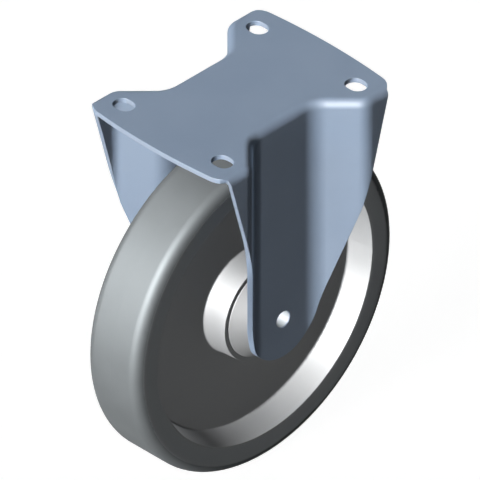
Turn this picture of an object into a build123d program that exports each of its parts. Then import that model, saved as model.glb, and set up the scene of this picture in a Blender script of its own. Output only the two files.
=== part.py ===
from build123d import *
import math
import os

# Fixed caster with an eight inch wheel, in millimetres.
# The origin is the centre of the plate's top face. +Z is up, +X is the rolling direction
# and +Y runs along the axle. "left" is the -Y side and "right" is the +Y side.

# Overall sizes
overall_height = 237.5      # plate top to floor
wheel_diameter = 203.0
wheel_width = 40.0
plate_length = 140.0        # along X, at the middle of the bowed ends
plate_width = 110.0         # along Y, over the flared legs

# Pressed bracket
sheet = 3.0
bend_inner_radius = 2.0
leg_span = 68.0             # over the outer faces of the two legs, at the axle
waist_length = 48.0         # between the corners where the legs start to flare
flank_angle = 45.0          # of the flare, seen from above
waist_radius = 16.0         # outer face, where the leg starts to flare
flare_radius = 10.5         # outer face, where the flare runs straight again
end_bow_radius = 430.0      # the plate's two ends are slightly bowed
corner_radius = 12.0
leg_top_inset = 7.3         # the leg's tapered edges start this far in from the plate's end
leg_tip_radius = 25.0       # round the axle

# Slotted holes in the plate
hole_spacing_x = 105.0
hole_spacing_y = 77.5
slot_width = 11.0
slot_length = 13.5

# Hollow axle, riveted flush into both legs
axle_diameter = 20.0
axle_spigot_diameter = 15.0
axle_flare = 1.0            # radial, where each end is riveted into its countersink
axle_bore = 10.0
axle_bore_chamfer = 0.4

# Wheel centre: rim, web and hub in one casting
rim_wall = 4.0              # at the mouth of the side recess
recess_draft = 3.5          # the recess narrows this much towards the web, on the radius
web_thickness = 9.0
web_fillet = 1.0
hub_wall = 5.0              # round the collar's seat, at the hub's face
hub_draft = 1.0

# Tyre, moulded onto the rim
tyre_thickness = 13.5
tyre_edge_radius = 6.5
rim_lip = 1.0               # rim showing beside the tyre at the mouth of the recess
rim_bevel = 2.5

# Hub collars: each holds a bearing in the hub and closes it with a cone
collar_wall = 3.5           # round the bearing, inside the hub
collar_flange = 2.0         # wider than that outside the hub
collar_cone_angle = 45.0    # of the cone's wall to the axle
bearing_shoulder = 2.3      # the ledges that each bearing seats between
chamber_depth = 2.7         # inside the cone, beside the bearing

# Deep groove ball bearings, 20 x 47 x 14
bearing_outside = 47.0
bearing_width = 14.0
ball_diameter = 7.94
ball_count = 8
ring_gap = 5.7              # between the two rings, beside the balls
cage_thickness = 2.6
cage_wall = 0.8             # beside each ball pocket
shield_seat_depth = 1.1
shield_thickness = 0.8
shield_inset = 0.5
ring_chamfer = 0.6

# Spacers on the axle, and the dust covers in the collars
spacer_wall = 3.0
cover_thickness = 1.2

# Clearances
seat_clearance = 0.02       # turned fits and pressed seats, on the radius
race_clearance = 0.1        # between the balls and their grooves
pocket_clearance = 0.15     # between the balls and their cage
turning_clearance = 0.5     # between a turning piece and a standing one
collar_clearance = 1.0      # between a turning collar and the leg beside it

# Places worked out from the sizes above
axle_drop = overall_height - wheel_diameter / 2
leg_outer = leg_span / 2
leg_inner = leg_outer - sheet
flare_y = plate_width / 2
half_tread = wheel_width / 2
tread_radius = wheel_diameter / 2
rim_radius = tread_radius - tyre_thickness
recess_radius = rim_radius - rim_wall
rim_edge_radius = recess_radius + rim_lip
axle_radius = axle_diameter / 2
spacer_radius = axle_radius + spacer_wall
bearing_start = half_tread - bearing_width
bearing_radius = bearing_outside / 2
pitch_radius = (axle_radius + bearing_radius) / 2
ball_radius = ball_diameter / 2
inner_ring_radius = pitch_radius - ring_gap / 2
outer_ring_radius = pitch_radius + ring_gap / 2
shoulder_radius = bearing_radius - bearing_shoulder
collar_seat_radius = bearing_radius + collar_wall
collar_mouth = spacer_radius + turning_clearance
collar_end = leg_inner - collar_clearance
chamber_end = half_tread + chamber_depth
trim_allowance = 10.0       # how far a blank or a cutter runs past what it trims
block_end = plate_length / 2 + trim_allowance
block_depth = axle_drop + leg_tip_radius + trim_allowance


def on_axle(shape):
    """Move a shape made round the origin's Y axis down to the wheel's axle."""
    return Pos(0, 0, -axle_drop) * shape


def turned(points):
    """Turn a closed outline of (radius, place along Y) points round the Y axis."""
    return revolve(make_face(Polyline(*points, close=True)), Axis.Y)


def mirrored_outline(half):
    """Complete a half outline, drawn on the +Y side, with its mirror image."""
    return half + [(radius, -place) for radius, place in reversed(half) if place != 0]


# Bracket

def channel_block():
    """The outside of the pressed channel as a solid block, before it is trimmed to shape."""
    waist_x = waist_length / 2
    flare_x = waist_x + (flare_y - leg_outer) / math.tan(math.radians(flank_angle))
    side = [(-block_end, flare_y), (-flare_x, flare_y), (-waist_x, leg_outer),
            (waist_x, leg_outer), (flare_x, flare_y), (block_end, flare_y)]
    other_side = [(x, -y) for x, y in reversed(side)]
    face = make_face(Polyline(*side, *other_side, close=True))
    waist_corners = [v for v in face.vertices() if abs(abs(v.X) - waist_x) < 0.01]
    face = fillet(waist_corners, waist_radius)
    flare_corners = [v for v in face.vertices() if abs(abs(v.X) - flare_x) < 0.01]
    block = extrude(fillet(flare_corners, flare_radius), amount=-block_depth)
    rim = [e for e in block.edges() if abs(e.center().Z) < 0.01 and abs(e.center().X) < block_end - 0.01]
    return fillet(rim, sheet + bend_inner_radius)


def plate_slab():
    """The plate's outline, with bowed ends and rounded corners, one sheet thick."""
    bow = end_bow_radius - math.sqrt(end_bow_radius ** 2 - flare_y ** 2)
    end_x, corner_x = plate_length / 2, plate_length / 2 - bow
    edges = [Line((-corner_x, -flare_y), (corner_x, -flare_y)),
             ThreePointArc((corner_x, -flare_y), (end_x, 0), (corner_x, flare_y)),
             Line((corner_x, flare_y), (-corner_x, flare_y)),
             ThreePointArc((-corner_x, flare_y), (-end_x, 0), (-corner_x, -flare_y))]
    face = make_face(edges)
    return extrude(fillet(face.vertices(), corner_radius), amount=-sheet)


def leg_profile():
    """The legs' outline from the side: straight tapers, tangent to the round tip."""
    top_x = plate_length / 2 - leg_top_inset
    taper = math.atan(top_x / axle_drop) - math.asin(leg_tip_radius / math.hypot(top_x, axle_drop))
    tangent_x = leg_tip_radius * math.cos(taper)
    tangent_z = -axle_drop - leg_tip_radius * math.sin(taper)
    edges = [Line((-top_x, 0), (top_x, 0)),
             Line((top_x, 0), (tangent_x, tangent_z)),
             ThreePointArc((tangent_x, tangent_z), (0, -axle_drop - leg_tip_radius),
                           (-tangent_x, tangent_z)),
             Line((-tangent_x, tangent_z), (-top_x, 0))]
    return extrude(Plane.XZ * make_face(edges), amount=plate_width / 2 + trim_allowance, both=True)


def plate_slots():
    slot = Rot(0, 0, 90) * SlotOverall(slot_length, slot_width)
    places = GridLocations(hole_spacing_x, hole_spacing_y, 2, 2)
    return extrude(Sketch() + [place * slot for place in places], amount=-sheet)


def make_bracket():
    """Trim the channel's outer skin, thicken it inwards by one sheet, then cut the holes."""
    skin = [face for face in channel_block().faces()
            if face.center().Z > 0.01 - block_depth and abs(face.center().X) < block_end - 0.01]
    outline = plate_slab() + leg_profile()
    trimmed = Shell([part for face in skin for part in (face & outline).faces()])
    bracket = Solid.thicken(trimmed, -sheet)
    return bracket - plate_slots() - axle_outside(seat_clearance)


# Axle and the spacers on it

def axle_outside(clearance):
    """The axle without its bore. With a clearance, the cutter for its holes in the legs."""
    spigot = axle_spigot_diameter / 2 + clearance
    ends = leg_outer + clearance
    half = [(0, 0), (0, ends), (spigot + axle_flare, ends), (spigot, ends - axle_flare),
            (spigot, leg_inner), (axle_radius, leg_inner), (axle_radius, 0)]
    return on_axle(turned(mirrored_outline(half)))


def make_axle():
    bore = axle_bore / 2
    half = [(0, 0), (0, leg_outer), (bore + axle_bore_chamfer, leg_outer),
            (bore, leg_outer - axle_bore_chamfer), (bore, 0)]
    return axle_outside(0) - on_axle(turned(mirrored_outline(half)))


def sleeve(inner, outer, start, end):
    """A plain ring round the axle, from one place along Y to another."""
    return on_axle(turned([(inner, start), (outer, start), (outer, end), (inner, end)]))


def make_spacer_tube():
    return sleeve(axle_radius + seat_clearance, spacer_radius, -bearing_start, bearing_start)


def make_side_bush():
    return sleeve(axle_radius + seat_clearance, spacer_radius, half_tread, leg_inner)


# Wheel

def make_tyre():
    half = [(rim_radius, 0), (rim_radius, half_tread - rim_bevel), (rim_edge_radius, half_tread),
            (tread_radius, half_tread), (tread_radius, 0)]
    face = make_face(Polyline(*mirrored_outline(half), close=True))
    shoulders = [v for v in face.vertices() if v.X > tread_radius - 0.01]
    return on_axle(revolve(fillet(shoulders, tyre_edge_radius), Axis.Y))


def make_wheel_centre():
    web_y = web_thickness / 2
    hub_radius = collar_seat_radius + hub_wall
    half = [(shoulder_radius, 0), (shoulder_radius, bearing_start),
            (collar_seat_radius, bearing_start), (collar_seat_radius, half_tread),
            (hub_radius, half_tread), (hub_radius + hub_draft, web_y),
            (recess_radius - recess_draft, web_y), (recess_radius, half_tread),
            (rim_edge_radius, half_tread), (rim_radius, half_tread - rim_bevel), (rim_radius, 0)]
    face = make_face(Polyline(*mirrored_outline(half), close=True))
    roots = [v for v in face.vertices() if abs(abs(v.Y) - web_y) < 0.01]
    return on_axle(revolve(fillet(roots, web_fillet), Axis.Y))


def make_collar():
    seat = bearing_radius + seat_clearance
    spigot = collar_seat_radius - seat_clearance
    flange = collar_seat_radius + collar_flange
    nose = flange - (collar_end - half_tread) * math.tan(math.radians(collar_cone_angle))
    outline = [(seat, bearing_start), (spigot, bearing_start), (spigot, half_tread),
               (flange, half_tread), (nose, collar_end), (collar_mouth, collar_end),
               (collar_mouth, chamber_end), (shoulder_radius, chamber_end),
               (shoulder_radius, half_tread), (seat, half_tread)]
    return on_axle(turned(outline))


def make_dust_cover():
    """A ring pressed into the collar's chamber, running close round the side bush."""
    outer = shoulder_radius - seat_clearance
    return sleeve(collar_mouth, outer, chamber_end - cover_thickness, chamber_end)


# Ball bearing, made round the Y axis with its middle at the origin

def race_groove():
    """The round track that the balls run in, cut into both rings."""
    track = Pos(pitch_radius, 0) * Circle(ball_radius + race_clearance)
    return revolve(track, Axis.Y)


def bearing_inner_ring():
    half_width = bearing_width / 2
    bore = axle_radius + seat_clearance
    half = [(bore, 0), (bore, half_width - ring_chamfer), (bore + ring_chamfer, half_width),
            (inner_ring_radius, half_width), (inner_ring_radius, 0)]
    return turned(mirrored_outline(half)) - race_groove()


def bearing_outer_ring():
    half_width = bearing_width / 2
    ledge = half_width - shield_inset - shield_thickness
    shield_seat = outer_ring_radius + shield_seat_depth + seat_clearance
    half = [(outer_ring_radius, 0), (outer_ring_radius, ledge), (shield_seat, ledge),
            (shield_seat, half_width), (bearing_radius - ring_chamfer, half_width),
            (bearing_radius, half_width - ring_chamfer), (bearing_radius, 0)]
    return turned(mirrored_outline(half)) - race_groove()


def bearing_shields():
    """The two sheet rings that close one bearing, each pressed in against its ledge."""
    start = bearing_width / 2 - shield_inset - shield_thickness
    end = start + shield_thickness
    inner = inner_ring_radius + turning_clearance
    outer = outer_ring_radius + shield_seat_depth
    shield = turned([(inner, start), (outer, start), (outer, end), (inner, end)])
    return shield, mirror(shield, Plane.XZ)


def ball_places():
    step = 360 / ball_count
    return [Rot(0, index * step, 0) * Pos(pitch_radius, 0, 0) for index in range(ball_count)]


def bearing_balls():
    return [place * Sphere(ball_radius) for place in ball_places()]


def bearing_cage():
    inner = pitch_radius - cage_thickness / 2
    outer = pitch_radius + cage_thickness / 2
    pocket = ball_radius + pocket_clearance
    end = pocket + cage_wall
    cage = turned([(inner, -end), (outer, -end), (outer, end), (inner, end)])
    return cage - [place * Sphere(pocket) for place in ball_places()]


# Nodes

def make_nodes():
    nodes = {"bracket": make_bracket(), "axle_tube": make_axle(), "spacer_tube": make_spacer_tube(),
             "wheel_centre": make_wheel_centre(), "tyre": make_tyre()}
    bush, collar, cover = make_side_bush(), make_collar(), make_dust_cover()
    outer_shield, inner_shield = bearing_shields()
    bearing = {"inner_ring": bearing_inner_ring(), "outer_ring": bearing_outer_ring(),
               "balls": Compound(bearing_balls()), "ball_cage": bearing_cage(),
               "outer_shield": outer_shield, "inner_shield": inner_shield}
    for side, turn in (("right", 0), ("left", 180)):
        flip = Rot(0, 0, turn)
        for name, shape in (("bush", bush), ("collar", collar), ("dust_cover", cover)):
            nodes[f"{name}_{side}"] = flip * shape
        seat = flip * Pos(0, bearing_start + bearing_width / 2, -axle_drop)
        for name, shape in bearing.items():
            nodes[f"{name}_{side}"] = seat * shape
    return nodes


os.makedirs("parts", exist_ok=True)
for name, shape in make_nodes().items():
    export_step(shape, f"parts/{name}.step")
    print(f"{name}: {shape.volume / 1000:.1f} cm3")
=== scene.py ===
import math
import bpy
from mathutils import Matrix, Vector


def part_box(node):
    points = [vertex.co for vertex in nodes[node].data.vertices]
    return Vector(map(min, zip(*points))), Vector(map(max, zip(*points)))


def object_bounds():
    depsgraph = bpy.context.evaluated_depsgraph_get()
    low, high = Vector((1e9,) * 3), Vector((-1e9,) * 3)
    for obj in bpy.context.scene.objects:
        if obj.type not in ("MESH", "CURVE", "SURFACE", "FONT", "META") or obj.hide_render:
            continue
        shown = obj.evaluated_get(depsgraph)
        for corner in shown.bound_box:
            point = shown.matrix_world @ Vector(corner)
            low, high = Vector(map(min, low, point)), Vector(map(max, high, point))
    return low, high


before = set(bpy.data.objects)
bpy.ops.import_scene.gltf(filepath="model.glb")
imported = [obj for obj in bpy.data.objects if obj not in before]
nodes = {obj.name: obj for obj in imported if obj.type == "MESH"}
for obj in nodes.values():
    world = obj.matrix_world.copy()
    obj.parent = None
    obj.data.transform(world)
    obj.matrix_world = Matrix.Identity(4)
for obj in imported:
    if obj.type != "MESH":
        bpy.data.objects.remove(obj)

cadLow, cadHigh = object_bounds()
tyreLow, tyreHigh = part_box("tyre")
axleZ = (tyreLow.z + tyreHigh.z) / 2
print("caster frame loaded:", len(nodes), "nodes")


# Shader maths: a number socket that takes + - * and abs()

class Number:
    def __init__(self, graph, socket):
        self.graph, self.socket = graph, socket

    def maths(self, operation, *values):
        made = self.graph.node("ShaderNodeMath", {"operation": operation}, dict(enumerate(values)))
        return Number(self.graph, made.outputs[0])

    def __add__(self, other): return self.maths("ADD", self, other)
    def __radd__(self, other): return self.maths("ADD", other, self)
    def __sub__(self, other): return self.maths("SUBTRACT", self, other)
    def __rsub__(self, other): return self.maths("SUBTRACT", other, self)
    def __mul__(self, other): return self.maths("MULTIPLY", self, other)
    def __rmul__(self, other): return self.maths("MULTIPLY", other, self)
    def __abs__(self): return self.maths("ABSOLUTE", self)

    def step(self, low, high):                     # 0 at low, 1 at high, smooth between
        settings = {"interpolation_type": "SMOOTHSTEP"}
        sockets = {"Value": self, "From Min": low, "From Max": high}
        made = self.graph.node("ShaderNodeMapRange", settings, sockets)
        return Number(self.graph, made.outputs["Result"])


class Graph:                                       # the node tree of a material or of the world
    def __init__(self, owner, outputKind):
        owner.use_nodes = True
        self.tree = owner.node_tree
        self.tree.nodes.clear()
        self.output = self.node(outputKind)

    def node(self, kind, settings=None, sockets=None):
        made = self.tree.nodes.new(kind)
        for key, value in (settings or {}).items():
            setattr(made, key, value)
        for key, value in (sockets or {}).items():
            self.give(made.inputs[key], value)
        return made

    def give(self, socket, value):
        if isinstance(value, Number):
            value = value.socket
        if isinstance(value, bpy.types.NodeSocket):
            self.tree.links.new(value, socket)
        else:
            socket.default_value = value

    def choose(self, mask, first, second):         # the first shader where mask is 0
        sockets = {0: mask, 1: first.outputs[0], 2: second.outputs[0]}
        return self.node("ShaderNodeMixShader", {}, sockets)

    def mirrorRay(self, path):                     # 1 for a ray that was reflected or passed through
        glossy = Number(self, path.outputs["Is Glossy Ray"])
        return glossy.maths("MAXIMUM", glossy, path.outputs["Is Transmission Ray"])

    def show(self, shader):
        self.give(self.output.inputs["Surface"], shader.outputs[0])


class Finish(Graph):
    def __init__(self, name):
        self.material = bpy.data.materials.new(name)
        super().__init__(self.material, "ShaderNodeOutputMaterial")

    def place(self, stretch=(1, 1, 1)):            # a point on the piece, in metres, as it lies at rest
        coords = self.node("ShaderNodeTexCoord").outputs["Object"]
        return self.node("ShaderNodeMapping", {}, {"Vector": coords, "Scale": stretch}).outputs[0]

    def axes(self, vector):
        split = self.node("ShaderNodeSeparateXYZ", {}, {0: vector})
        return [Number(self, split.outputs[index]) for index in range(3)]

    def facing(self):                              # the surface's own direction, at rest
        return self.axes(self.node("ShaderNodeTexCoord").outputs["Normal"])

    def noise(self, scale, detail, stretch=(1, 1, 1)):
        sockets = {"Vector": self.place(stretch), "Scale": scale, "Detail": detail}
        return Number(self, self.node("ShaderNodeTexNoise", {}, sockets).outputs[0])

    def spots(self, scale):
        sockets = {"Vector": self.place(), "Scale": scale}
        return Number(self, self.node("ShaderNodeTexVoronoi", {}, sockets).outputs["Distance"])

    def blend(self, mask, first, second):          # first where mask is 0, second where it is 1
        made = self.node("ShaderNodeMix", {"data_type": "RGBA"}, {"Factor": mask})
        for index, value in ((6, first), (7, second)):       # the Mix node's two colour sockets
            isLink = isinstance(value, bpy.types.NodeSocket)
            self.give(made.inputs[index], value if isLink else (*value, 1))
        return made.outputs[2]

    def relief(self, height, depth, edge):         # a Bump, over edges softened by that radius
        sockets = {"Height": height, "Distance": depth, "Strength": 1.0}
        if edge:
            sockets["Normal"] = self.node("ShaderNodeBevel", {"samples": 6}, {"Radius": edge}).outputs[0]
        return self.node("ShaderNodeBump", {}, sockets).outputs[0]

    def principled(self, sockets):
        self.show(self.node("ShaderNodeBsdfPrincipled", {}, sockets))
        return self.material


cloudEdges = (0.3, 0.7)                            # noise values that give all of one tone, all of the other


def dress(names, material):
    for name in names:
        mesh = nodes[name].data
        mesh.materials.clear()
        mesh.materials.append(material)


# Fork: one pressed sheet, zinc plated with a blue passivation, and the riveted axle in it

zincSheet = {
    "blue": (0.304, 0.420, 0.598), "pale": (0.328, 0.448, 0.63), "bare": (0.315, 0.408, 0.552),
    "roughness": 0.56, "grainRoughness": 0.12, "cloudRoughness": 0.1, "shine": 0.83,
    "cloudScale": 28, "grainScale": 900, "rollingStretch": (0.15, 1, 0.4), "speckleScale": 2600,
    "grainDepth": 0.00002, "edge": 0.0004,
}
axleLook = {**zincSheet, "bare": (0.67, 0.735, 0.785), "edge": 0.0}


def makeZincSheet(name, look, isAxle):
    skin = Finish(name)
    clouds = skin.noise(look["cloudScale"], 4)
    grain = skin.noise(look["grainScale"], 2, look["rollingStretch"])
    speckle = skin.noise(look["speckleScale"], 1)
    towardX, towardY, _ = skin.facing()
    roundTheAxle = 1 - abs(towardY).step(0.25, 0.45)
    cutEnds = abs(towardX).step(0.86, 0.93) * roundTheAxle
    bare = roundTheAxle if isAxle else cutEnds
    tone = clouds.step(*cloudEdges) * 0.7 + grain * 0.3
    colour = skin.blend(tone, look["blue"], look["pale"])
    colour = skin.blend(bare, colour, look["bare"])
    roughness = look["roughness"] + (grain - 0.5) * look["grainRoughness"]
    roughness = roughness + (clouds - 0.5) * look["cloudRoughness"]
    height = grain * 0.7 + speckle * 0.3
    return skin.principled({
        "Base Color": colour, "Roughness": roughness, "Specular IOR Level": look["shine"],
        "Normal": skin.relief(height, look["grainDepth"], look["edge"])})


dress(["bracket"], makeZincSheet("zincSheet", zincSheet, False))
dress(["axle_tube"], makeZincSheet("axleZinc", axleLook, True))
print("fork dressed")


# Tyre: smooth grey elastic rubber, moulded onto the rim

tyreLook = {
    # the side colour is painted light: much lighter than the tread, for the sides that face ±y and lie in
    # shade
    "grey": (0.128, 0.137, 0.142), "worn": (0.142, 0.152, 0.157), "side": (0.368, 0.385, 0.397),
    "roughness": 0.64, "cloudRoughness": 0.14, "shine": 0.58, "shineTint": (0.89, 0.97, 1.0, 1),
    "cloudScale": 35, "grainScale": 1700, "grainDepth": 0.00003,
    "mouldLine": 0.0006, "mouldLineShare": 0.8, "edge": 0.0003,
}


def makeTyre(look):
    skin = Finish("greyTyre")
    clouds = skin.noise(look["cloudScale"], 4)
    grain = skin.noise(look["grainScale"], 2)
    _, y, _ = skin.axes(skin.place())
    mouldLine = 1 - abs(y).step(0.0, look["mouldLine"])
    _, towardY, _ = skin.facing()
    colour = skin.blend(clouds.step(*cloudEdges), look["grey"], look["worn"])
    colour = skin.blend(abs(towardY).step(0.98, 0.999), colour, look["side"])   # painted light: the sides, which face ±y and lie in shade, get a much lighter colour than the tread
    roughness = look["roughness"] + (clouds - 0.5) * look["cloudRoughness"]
    height = grain + mouldLine * look["mouldLineShare"]
    return skin.principled({
        "Base Color": colour, "Roughness": roughness,
        "Specular IOR Level": look["shine"], "Specular Tint": look["shineTint"],
        "Normal": skin.relief(height, look["grainDepth"], look["edge"])})


dress(["tyre"], makeTyre(tyreLook))
print("tyre dressed")


# Wheel centre and hub collars: light cast metal with a fine blasted skin

castLook = {
    # the third colour is painted shade, a darker colour for the faces that face ±y
    "light": (0.398, 0.41, 0.422), "dull": (0.378, 0.39, 0.402), "paintedShade": (0.305, 0.319, 0.328),
    "roughness": 0.63, "cloudRoughness": 0.12, "shine": 1.0,
    "cloudScale": 45, "grainScale": 1500, "pitScale": 900, "pitShare": 0.4,
    "grainDepth": 0.00005, "edge": 0.0005,
}
# the collars keep that painted shade on their faces that face ±y
collarLook = {**castLook, "light": (0.34, 0.348, 0.356), "dull": (0.32, 0.328, 0.336)}


def makeCast(name, look):
    skin = Finish(name)
    clouds = skin.noise(look["cloudScale"], 4)
    grain = skin.noise(look["grainScale"], 3)
    pits = skin.spots(look["pitScale"])
    _, towardY, _ = skin.facing()
    colour = skin.blend(clouds.step(*cloudEdges), look["dull"], look["light"])
    colour = skin.blend(abs(towardY).step(0.8, 0.95), colour, look["paintedShade"])     # painted shade: the web and end faces, which face ±y, get a darker colour than the walls
    roughness = look["roughness"] + (clouds - 0.5) * look["cloudRoughness"]
    height = grain + pits.step(0.0, 0.2) * look["pitShare"]
    return skin.principled({
        "Base Color": colour, "Roughness": roughness, "Specular IOR Level": look["shine"],
        "Normal": skin.relief(height, look["grainDepth"], look["edge"])})


dress(["wheel_centre"], makeCast("castCentre", castLook))
dress(["collar_left", "collar_right"], makeCast("castCollar", collarLook))
print("wheel centre and hub collars dressed")


# The small parts on the axle, all turned or pressed round it

turnedLook = {"cloudScale": 120, "ringScale": 1400, "ringRoughness": 0.1, "darkerShare": 0.88}
steelLook = {
    "colour": (0.66, 0.69, 0.74), "metallic": 0.8, "roughness": 0.3, "ringDepth": 0.00002, "edge": 0.0002}
bearingLook = {
    "colour": (0.72, 0.72, 0.73), "metallic": 1.0, "roughness": 0.16, "ringDepth": 0.000005, "edge": 0.0002}
shieldLook = {
    "colour": (0.58, 0.59, 0.61), "metallic": 0.9, "roughness": 0.34, "ringDepth": 0.00001, "edge": 0.0001}
plasticLook = {
    "colour": (0.03, 0.03, 0.032), "metallic": 0.0, "roughness": 0.5, "ringDepth": 0.00002, "edge": 0.0002}


def makeTurned(name, look):
    skin = Finish(name)
    clouds = skin.noise(turnedLook["cloudScale"], 3)
    rings = skin.noise(turnedLook["ringScale"], 2, (0.02, 1, 0.02))     # turning marks, fine along the axle
    darker = tuple(channel * turnedLook["darkerShare"] for channel in look["colour"])
    roughness = look["roughness"] + (rings - 0.5) * turnedLook["ringRoughness"]
    return skin.principled({
        "Base Color": skin.blend(clouds.step(*cloudEdges), darker, look["colour"]),
        "Metallic": look["metallic"], "Roughness": roughness,
        "Normal": skin.relief(rings, look["ringDepth"], look["edge"])})


def bothSides(*names):
    return [f"{name}_{side}" for name in names for side in ("left", "right")]


dress(["spacer_tube"] + bothSides("bush"), makeTurned("turnedSteel", steelLook))
dress(bothSides("inner_ring", "outer_ring", "balls"), makeTurned("bearingSteel", bearingLook))
dress(bothSides("inner_shield", "outer_shield"), makeTurned("shieldSheet", shieldLook))
dress(bothSides("dust_cover", "ball_cage"), makeTurned("blackPlastic", plasticLook))
print("small parts dressed")


# Floor, light and camera

studio = {
    "floorForLight": 0.3, "floorForCamera": 0.5, "floorGlow": 0.757, "floorForGloss": 0.25, "floorHalf": 3.0,
    "skyForLight": 0.042, "skyForGloss": 0.145, "skyForCamera": 1.0,
    "keyStrength": 3.56, "shadowShare": 0.1, "keyAngle": 14, "keyElevation": 24.3, "keyTurn": 2.7,
    "sheenStrength": 35.3, "sheenAngle": 6, "sheenElevation": 25.4, "sheenTurn": 5,
    "backStrength": 1.6, "backElevation": -25, "backTurn": -135,
    "sideStrength": 2.2, "sideElevation": -12, "sideTurn": -151, "fillAngle": 16,
}
view = {"azimuth": -45, "elevation": 35.264, "widthShown": 0.2668, "aimAboveAxle": 0.0371, "distance": 2.0}


def evenGrey(shade):
    return (shade, shade, shade, 1)


def makeFloor(look):
    half, z = look["floorHalf"], cadLow.z
    corners = [(-half, -half, z), (half, -half, z), (half, half, z), (-half, half, z)]
    mesh = bpy.data.meshes.new("floor")
    mesh.from_pydata(corners, [], [(0, 1, 2, 3)])
    floor = bpy.data.objects.new("floor", mesh)
    bpy.context.scene.collection.objects.link(floor)
    skin = Finish("floorSkin")
    path = skin.node("ShaderNodeLightPath")
    grey = skin.node("ShaderNodeBsdfDiffuse", {}, {"Color": evenGrey(look["floorForLight"])})
    pale = skin.node("ShaderNodeBsdfDiffuse", {}, {"Color": evenGrey(look["floorForCamera"])})
    glow = skin.node("ShaderNodeEmission", {}, {"Color": evenGrey(1), "Strength": look["floorGlow"]})
    mirrored = skin.node("ShaderNodeEmission", {}, {"Color": evenGrey(1), "Strength": look["floorForGloss"]})
    seen = skin.node("ShaderNodeAddShader", {}, {0: glow.outputs[0], 1: pale.outputs[0]})
    unseen = skin.choose(skin.mirrorRay(path), grey, mirrored)
    skin.show(skin.choose(path.outputs["Is Camera Ray"], unseen, seen))
    mesh.materials.append(skin.material)


def makeSky(look):
    world = bpy.data.worlds.new("studioSky")
    bpy.context.scene.world = world
    sky = Graph(world, "ShaderNodeOutputWorld")
    path = sky.node("ShaderNodeLightPath")
    forLight, forGloss, forCamera = [
        sky.node("ShaderNodeBackground", {}, {"Color": evenGrey(look[name])})
        for name in ("skyForLight", "skyForGloss", "skyForCamera")]
    unseen = sky.choose(sky.mirrorRay(path), forLight, forGloss)
    sky.show(sky.choose(path.outputs["Is Camera Ray"], unseen, forCamera))


def makeLamp(name, strength, angle, elevation, turn):     # turn 0 shines from -x, 90 from -y
    lamp = bpy.data.lights.new(name, "SUN")
    lamp.energy, lamp.angle = strength, math.radians(angle)
    holder = bpy.data.objects.new(name, lamp)
    bpy.context.scene.collection.objects.link(holder)
    rise, turned = math.radians(elevation), math.radians(turn)
    level = math.cos(rise)
    toward = Vector((-level * math.cos(turned), -level * math.sin(turned), math.sin(rise)))
    holder.rotation_euler = (-toward).to_track_quat("-Z", "Y").to_euler()
    return holder


def makeLamps(look):                               # a key, its shadow and its sheen; fills on the far sides
    strength, angle, share = look["keyStrength"], look["keyAngle"], look["shadowShare"]
    key = (angle, look["keyElevation"], look["keyTurn"])
    shadowing = makeLamp("shadowKey", strength * share, *key)
    plain = makeLamp("plainKey", strength * (1 - share), *key)
    sheen = makeLamp(
        "sheenKey", look["sheenStrength"], look["sheenAngle"], look["sheenElevation"], look["sheenTurn"])
    behind = makeLamp(
        "backFill", look["backStrength"], look["fillAngle"], look["backElevation"], look["backTurn"])
    beside = makeLamp(
        "sideFill", look["sideStrength"], look["fillAngle"], look["sideElevation"], look["sideTurn"])
    for holder in (plain, sheen, behind, beside):
        holder.data.use_shadow = False
        holder.data.cycles.max_bounces = 0
    for holder in (shadowing, plain, behind, beside):
        holder.visible_glossy = False
    sheen.visible_diffuse = False


def makeCamera(look):
    camera = bpy.data.objects.new("camera", bpy.data.cameras.new("camera"))
    bpy.context.scene.collection.objects.link(camera)
    turn, rise = math.radians(look["azimuth"]), math.radians(look["elevation"])
    back = Vector((math.sin(turn) * math.cos(rise), -math.cos(turn) * math.cos(rise), math.sin(rise)))
    camera.location = Vector((0, 0, axleZ + look["aimAboveAxle"])) + back * look["distance"]
    camera.rotation_euler = (-back).to_track_quat("-Z", "Y").to_euler()
    camera.data.type = "ORTHO"
    camera.data.ortho_scale = look["widthShown"]
    bpy.context.scene.camera = camera


makeFloor(studio)
makeSky(studio)
makeLamps(studio)
makeCamera(view)
bpy.context.scene.view_settings.view_transform = "Standard"
print("studio ready")
